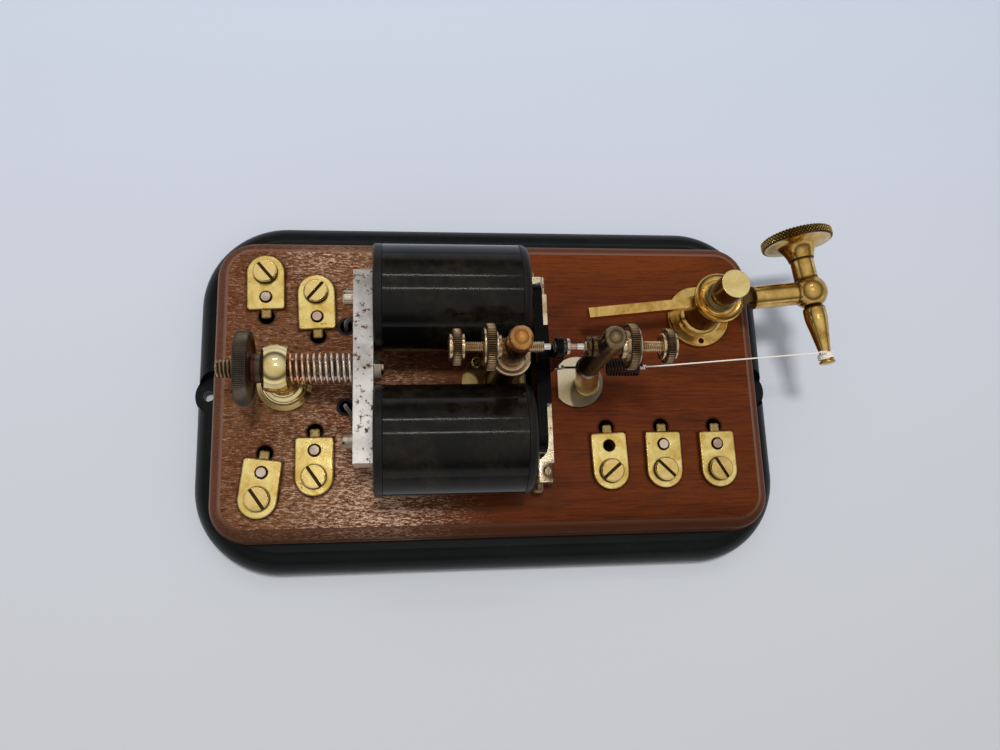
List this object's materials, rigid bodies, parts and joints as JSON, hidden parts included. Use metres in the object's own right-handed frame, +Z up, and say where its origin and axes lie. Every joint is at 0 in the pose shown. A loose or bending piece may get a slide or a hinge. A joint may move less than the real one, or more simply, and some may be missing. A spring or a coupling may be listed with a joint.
{
  "type": "telegraph relay",
  "caption": "Telegraph relay for a Morse receiver: sliding two-coil electromagnet, rocking armature between contact screws, silk-thread spring adjuster, moulded base.",
  "frame": {"origin": "centre of the base outline, on the underside it stands on", "axes": "+X along the base towards the tension spindle, +Y towards the rear, +Z up"},
  "size_m": [0.2445, 0.1366, 0.0938],
  "materials": {
    "japanned_iron": "satin",
    "cover_board": "matte",
    "mahogany": "satin",
    "brass": "polished",
    "pin_brass": "satin",
    "bronzed_brass": "satin",
    "post_bronze": "satin",
    "yoke_iron": "worn",
    "steel": "satin",
    "silver": "polished",
    "black_iron": "satin",
    "ebonite": "satin",
    "copper_wire": "satin",
    "spring_steel": "satin",
    "blued_steel": "satin",
    "cotton": "matte",
    "silk": "matte"
  },
  "bodies": {
    "base": {"base_casting": "japanned_iron", "base_cover": "cover_board", "cover_screws": "brass", "board_screws": "brass", "baseboard": "mahogany", "terminal_plates": "brass", "terminal_pins": "pin_brass", "ball_post": "brass", "left_contact_post": "post_bronze", "foot_screws": "brass", "right_contact_post": "post_bronze", "post_nuts": "brass", "armature_frame": "brass", "frame_screws": "brass", "pivot_screws": "steel", "pivot_clamp_screws": "brass", "runner_rails": "brass", "rail_screws": "brass", "tension_post": "brass", "tension_post_screws": "brass", "wiring": "cotton", "lead_bushes": "ebonite", "magnet_spring": "spring_steel", "coil_leads": "cotton", "tension_spring": "blued_steel"},
    "magnet": {"yoke": "yoke_iron", "cores": "yoke_iron", "yoke_fasteners": "steel", "bobbin_rear": "ebonite", "bobbin_front": "ebonite", "winding_rear": "copper_wire", "winding_front": "copper_wire", "coil_cover_rear": "ebonite", "coil_cover_front": "ebonite", "adjusting_rod": "bronzed_brass", "magnet_saddles": "brass"},
    "wheel": {"adjusting_wheel": "bronzed_brass"},
    "armature": {"armature_bar": "black_iron", "armature_arbor": "steel", "armature_rivets": "steel", "lever": "black_iron", "contact_barrel": "silver", "spring_hook": "steel"},
    "left_tip": {"left_contact_tip": "silver"},
    "left_screw": {"left_contact_screw": "bronzed_brass"},
    "left_nut": {"left_lock_nut": "bronzed_brass"},
    "right_tip": {"right_contact_tip": "silver"},
    "right_screw": {"right_contact_screw": "bronzed_brass"},
    "right_nut": {"right_lock_nut": "bronzed_brass"},
    "tension_rod": {"tension_rod": "brass", "silk_thread": "silk"},
    "spindle": {"tension_spindle": "brass"},
    "clamp": {"clamp_screw": "brass"},
    "terminal_screw_1": {"terminal_screw_1": "brass"},
    "terminal_screw_2": {"terminal_screw_2": "brass"},
    "terminal_screw_3": {"terminal_screw_3": "brass"},
    "terminal_screw_4": {"terminal_screw_4": "brass"},
    "terminal_screw_5": {"terminal_screw_5": "brass"},
    "terminal_screw_6": {"terminal_screw_6": "brass"},
    "terminal_screw_7": {"terminal_screw_7": "brass"}
  },
  "joints": [
    {"name": "magnet_slide", "type": "slide", "parent": "base", "child": "magnet", "axis": [1, 0, 0], "range_m": [-0.005, 0.0005], "deforming": ["magnet_spring", "coil_leads"]},
    {"name": "wheel_turn", "type": "hinge", "parent": "base", "child": "wheel", "pos_m": [-0.0866, 0, 0.0513], "axis": [1, 0, 0], "range_deg": [-142, 1418]},
    {"name": "armature_rock", "type": "hinge", "parent": "base", "child": "armature", "pos_m": [0.0134, 0, 0.0313], "axis": [0, 1, 0], "range_deg": [-0.6, 0], "stiffness_Nm_per_rad": 0.01, "springref_deg": 22.92},
    {"name": "left_contact_travel", "type": "slide", "parent": "base", "child": "left_tip", "axis": [1, 0, 0], "range_m": [-0.002, 0]},
    {"name": "left_contact_turn", "type": "hinge", "parent": "left_tip", "child": "left_screw", "pos_m": [-0.0191, 0, 0.0793], "axis": [1, 0, 0], "range_deg": [-1092, 1]},
    {"name": "right_contact_travel", "type": "slide", "parent": "base", "child": "right_tip", "axis": [-1, 0, 0], "range_m": [-0.002, 0]},
    {"name": "right_contact_turn", "type": "hinge", "parent": "right_tip", "child": "right_screw", "pos_m": [0.0511, 0, 0.0793], "axis": [-1, 0, 0], "range_deg": [-1092, 1]},
    {"name": "left_lock_turn", "type": "hinge", "parent": "base", "child": "left_nut", "pos_m": [-0.0068, 0, 0.0793], "axis": [1, 0, 0], "range_deg": [-90, 0]},
    {"name": "right_lock_turn", "type": "hinge", "parent": "base", "child": "right_nut", "pos_m": [0.0363, 0, 0.0793], "axis": [-1, 0, 0], "range_deg": [-90, 0]},
    {"name": "tension_rod_slide", "type": "slide", "parent": "base", "child": "tension_rod", "axis": [0.9948, 0.1019, 0], "range_m": [0, 0.008], "deforming": ["tension_spring"]},
    {"name": "spindle_turn", "type": "hinge", "parent": "tension_rod", "child": "spindle", "pos_m": [0.1194, 0.03038, 0.045], "axis": [0.1366, -0.9906, 0], "continuous": true},
    {"name": "clamp_turn", "type": "hinge", "parent": "base", "child": "clamp", "pos_m": [0.0815, 0.0265, 0.055], "axis": [0, 0, 1], "range_deg": [0, 180]},
    {"name": "terminal_screw_1_turn", "type": "hinge", "parent": "base", "child": "terminal_screw_1", "pos_m": [-0.08633, 0.04319, 0.0275], "axis": [0, 0, 1], "range_deg": [0, 360]},
    {"name": "terminal_screw_2_turn", "type": "hinge", "parent": "base", "child": "terminal_screw_2", "pos_m": [-0.0675, 0.03559, 0.0275], "axis": [0, 0, 1], "range_deg": [0, 360]},
    {"name": "terminal_screw_3_turn", "type": "hinge", "parent": "base", "child": "terminal_screw_3", "pos_m": [-0.08707, -0.04183, 0.0275], "axis": [0, 0, 1], "range_deg": [0, 360]},
    {"name": "terminal_screw_4_turn", "type": "hinge", "parent": "base", "child": "terminal_screw_4", "pos_m": [-0.0673, -0.0342, 0.0275], "axis": [0, 0, 1], "range_deg": [0, 360]},
    {"name": "terminal_screw_5_turn", "type": "hinge", "parent": "base", "child": "terminal_screw_5", "pos_m": [0.04244, -0.03419, 0.0275], "axis": [0, 0, 1], "range_deg": [0, 360]},
    {"name": "terminal_screw_6_turn", "type": "hinge", "parent": "base", "child": "terminal_screw_6", "pos_m": [0.0633, -0.034, 0.0275], "axis": [0, 0, 1], "range_deg": [0, 360]},
    {"name": "terminal_screw_7_turn", "type": "hinge", "parent": "base", "child": "terminal_screw_7", "pos_m": [0.08477, -0.0341, 0.0275], "axis": [0, 0, 1], "range_deg": [0, 360]}
  ],
  "couplings": [
    {"joint": "wheel_turn", "follows": "magnet_slide", "rad_per_m": -4947.4},
    {"joint": "left_contact_turn", "follows": "left_contact_travel", "rad_per_m": 9520},
    {"joint": "right_contact_turn", "follows": "right_contact_travel", "rad_per_m": 9520}
  ]
}
